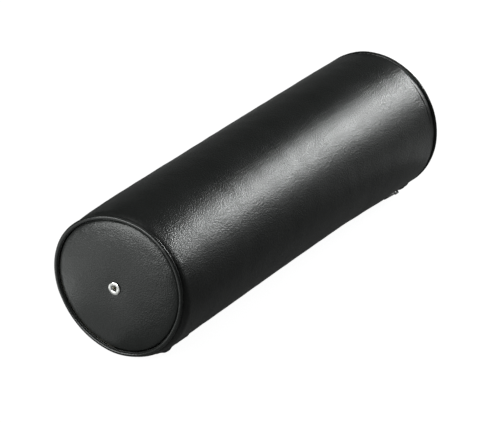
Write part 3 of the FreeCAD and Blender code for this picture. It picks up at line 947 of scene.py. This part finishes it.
def pull_tab():
    """The pull tab, which lies a little flatter on the swollen cover than on the stiff one."""
    node = frame["nodes"]["zip_pull_tab"]
    mesh = node.data.copy()
    pin, axis = Vector(hinge["pos_m"]), Vector(hinge["axis"])
    lift = Matrix.Translation(pin) @ Matrix.Rotation(PULL_LIFT, 4, axis) @ Matrix.Translation(-pin)
    mesh.transform(lift @ node.matrix_world)
    mesh.materials.clear()
    mesh.materials.append(MAT["zip_metal"])
    tab = bpy.data.objects.new("pull_tab", mesh)
    bpy.context.scene.collection.objects.link(tab)
    return dress(tab, "pull", "zip_metal", "zip_pull_tab")


def finish_cad_nodes():
    """CAD nodes that keep their own shape get their procedural materials."""
    for slot, nodes in {
        "zip_metal": ("zip_slider", "zip_top_stops", "zip_bottom_stop"),
        "zip_tape": ("zip_tape_upper", "zip_tape_lower"),
    }.items():
        for node in nodes:
            mesh = frame["nodes"][node].data
            mesh.materials.clear()
            mesh.materials.append(MAT[slot])


# ---------------------------------------------------------------- stage

CAMERA_AZIMUTH = math.radians(-58.34)
CAMERA_ELEVATION = math.radians(23.64)
CAMERA_DISTANCE = 4.730
CAMERA_LENS = 256.6
AIM_ALONG, AIM_RIGHT, AIM_UP = 0.006, -0.0107, -0.0205


def camera_axes():
    a, e = CAMERA_AZIMUTH, CAMERA_ELEVATION
    back = Vector((math.sin(a) * math.cos(e), -math.cos(a) * math.cos(e), math.sin(e)))
    right = Vector((math.cos(a), math.sin(a), 0))
    return right, back.cross(right), back


def make_camera():
    right, up, back = camera_axes()
    data = bpy.data.cameras.new("camera")
    data.lens, data.sensor_width = CAMERA_LENS, 36.0
    data.clip_end = 100.0
    cam = bpy.data.objects.new("camera", data)
    bpy.context.scene.collection.objects.link(cam)
    where = Vector((AIM_ALONG, 0, AXIS_Z)) + back * CAMERA_DISTANCE + right * AIM_RIGHT + up * AIM_UP
    cam.matrix_world = Matrix((right, up, back)).transposed().to_4x4()
    cam.matrix_world.translation = where
    bpy.context.scene.camera = cam


def area_light(name, where, target, size, power, color=(0.975, 1.0, 0.99)):
    data = bpy.data.lights.new(name, "AREA")
    data.shape = "RECTANGLE"
    data.size, data.size_y = size
    data.energy, data.color = power, color
    obj = bpy.data.objects.new(name, data)
    bpy.context.scene.collection.objects.link(obj)
    obj.location = where
    obj.rotation_mode = "QUATERNION"
    obj.rotation_quaternion = (target - where).to_track_quat("-Z", "Y")
    obj.visible_camera = False
    return obj


def make_stage():
    size = 40.0
    corners = [(-size, -size, 0), (size, -size, 0), (size, size, 0), (-size, size, 0)]
    floor = mesh_object("floor", corners, [(0, 1, 2, 3)], None)
    m = Nodes("floor", (0.17, 0.17, 0.17), 0.9)
    m.set("Specular IOR Level", 0.0)
    m.set("Emission Color", (1, 1, 1, 1))
    seen = m.add("ShaderNodeLightPath").outputs["Is Camera Ray"]
    m.into("Emission Strength", m.math("MULTIPLY", seen, 0.96))
    clear = m.add("ShaderNodeBsdfTransparent")
    behind = m.add("ShaderNodeNewGeometry").outputs["Backfacing"]
    mix = m.add("ShaderNodeMixShader", {0: behind, 1: m.shader.outputs[0], 2: clear.outputs[0]})
    m.tree.links.new(mix.outputs[0], m.tree.nodes["Material Output"].inputs["Surface"])
    floor.data.materials.append(m.material)
    world = bpy.data.worlds.new("world")
    bpy.context.scene.world = world
    world.use_nodes = True
    nodes, links = world.node_tree.nodes, world.node_tree.links
    seen = nodes.new("ShaderNodeBackground")
    seen.inputs[0].default_value = (1, 1, 1, 1)
    path = nodes.new("ShaderNodeLightPath")
    mix = nodes.new("ShaderNodeMixShader")
    soft = nodes["Background"]
    soft.inputs[0].default_value = (0.96, 1.0, 0.98, 1)
    soft.inputs[1].default_value = 0.04
    links.new(path.outputs["Is Camera Ray"], mix.inputs[0])
    links.new(soft.outputs[0], mix.inputs[1])
    links.new(seen.outputs[0], mix.inputs[2])
    links.new(mix.outputs[0], nodes["World Output"].inputs["Surface"])
    bpy.context.scene.view_settings.view_transform = "Standard"


def mirrored_light(name, lift, distance, size, power):
    """A light whose reflection lies along the roll where its side is turned up by lift from the camera."""
    back = camera_axes()[2]
    across = Vector((0, back.y, back.z)).normalized()
    over = Vector((0, across.z, -across.y))
    normal = across * math.cos(lift) + over * math.sin(lift)
    towards = 2 * normal.dot(back) * normal - back
    middle = Vector((0.22, 0, AXIS_Z))
    area_light(name, middle + towards * distance, middle, size, power)


def make_lights():
    """A narrow soft box over a wider, weaker one, an overhead fill, and white boards round the stage."""
    mirrored_light("key", math.radians(5.1), 2.0, (1.2, 0.085), 28.0)
    mirrored_light("under_key", math.radians(-8.0), 2.0, (1.5, 0.5), 2.7)
    area_light("top", Vector((-0.3, 0.4, 2.5)), Vector((0, 0, 0)), (2.0, 2.0), 8.0)
    area_light("card", Vector((-0.88, 0.42, 0.01)), Vector((-0.88, 0.40, 1.0)), (0.74, 0.9), 1.55)
    area_light("rear_card", Vector((-0.26, 0.33, 0.004)), Vector((-0.26, 0.33, 1.0)), (0.5, 0.36), 0.7)
    area_light("foot_card", Vector((-0.43, 0.11, 0.004)), Vector((-0.43, 0.11, 1.0)), (0.18, 0.2), 0.04)
    area_light("front_card", Vector((0.0, -0.10, 0.004)), Vector((0.0, -0.10, 1.0)), (1.0, 0.12), 0.018)
    area_light("far_card", Vector((0.75, 0.15, 0.004)), Vector((0.75, 0.15, 1.0)), (0.7, 1.0), 0.6)
    area_light("screen", Vector((-1.35, 0.38, 0.42)), Vector((-0.33, 0, 0.13)), (1.0, 0.5), 11.0)
    area_light("board", Vector((1.45, 1.2, 0.25)), Vector((0, 0, 0.15)), (2.0, 0.5), 0.4)


# ---------------------------------------------------------------- build

random.seed(26)
make_camera()
cover_skin()
zip_hems()
topstitching()
end_tab(
    "left_zip_tab", "left_zip_end_tab",
    LEFT_SEAM + 10.5 * MM, SLOT_LEFT + 1 * MM, LEFT_SEAM + 17 * MM, 2.8 * MM,
)
end_tab(
    "right_zip_tab", "right_zip_end_tab",
    SLOT_RIGHT - 1 * MM, SLOT_RIGHT + 11 * MM, SLOT_RIGHT + 1.5 * MM, 1.2 * MM,
)
tab_stitches()
coil(1, "coil_upper", "zip_coil_upper")
coil(-1, "coil_lower", "zip_coil_lower")
for label, side in (("left", -1), ("right", 1)):
    end_cap(side, f"{label}_cap_skin", f"{label}_end_cap")
    piping(side, f"{label}_piping_ring", f"{label}_piping_cover")
    piping_cord(side, f"{label}_cord_ring", f"{label}_piping_cord")
    seam_stitches(side, f"{label}_seam_stitching", f"{label}_seam_thread")
    eyelet(side, f"{label}_eyelet_ring", f"{label}_eyelet")
    washer(side, f"{label}_washer_ring", f"{label}_eyelet_washer")
foam_roll()
wadding_sheet()
pull_tab()
finish_cad_nodes()
make_stage()
make_lights()
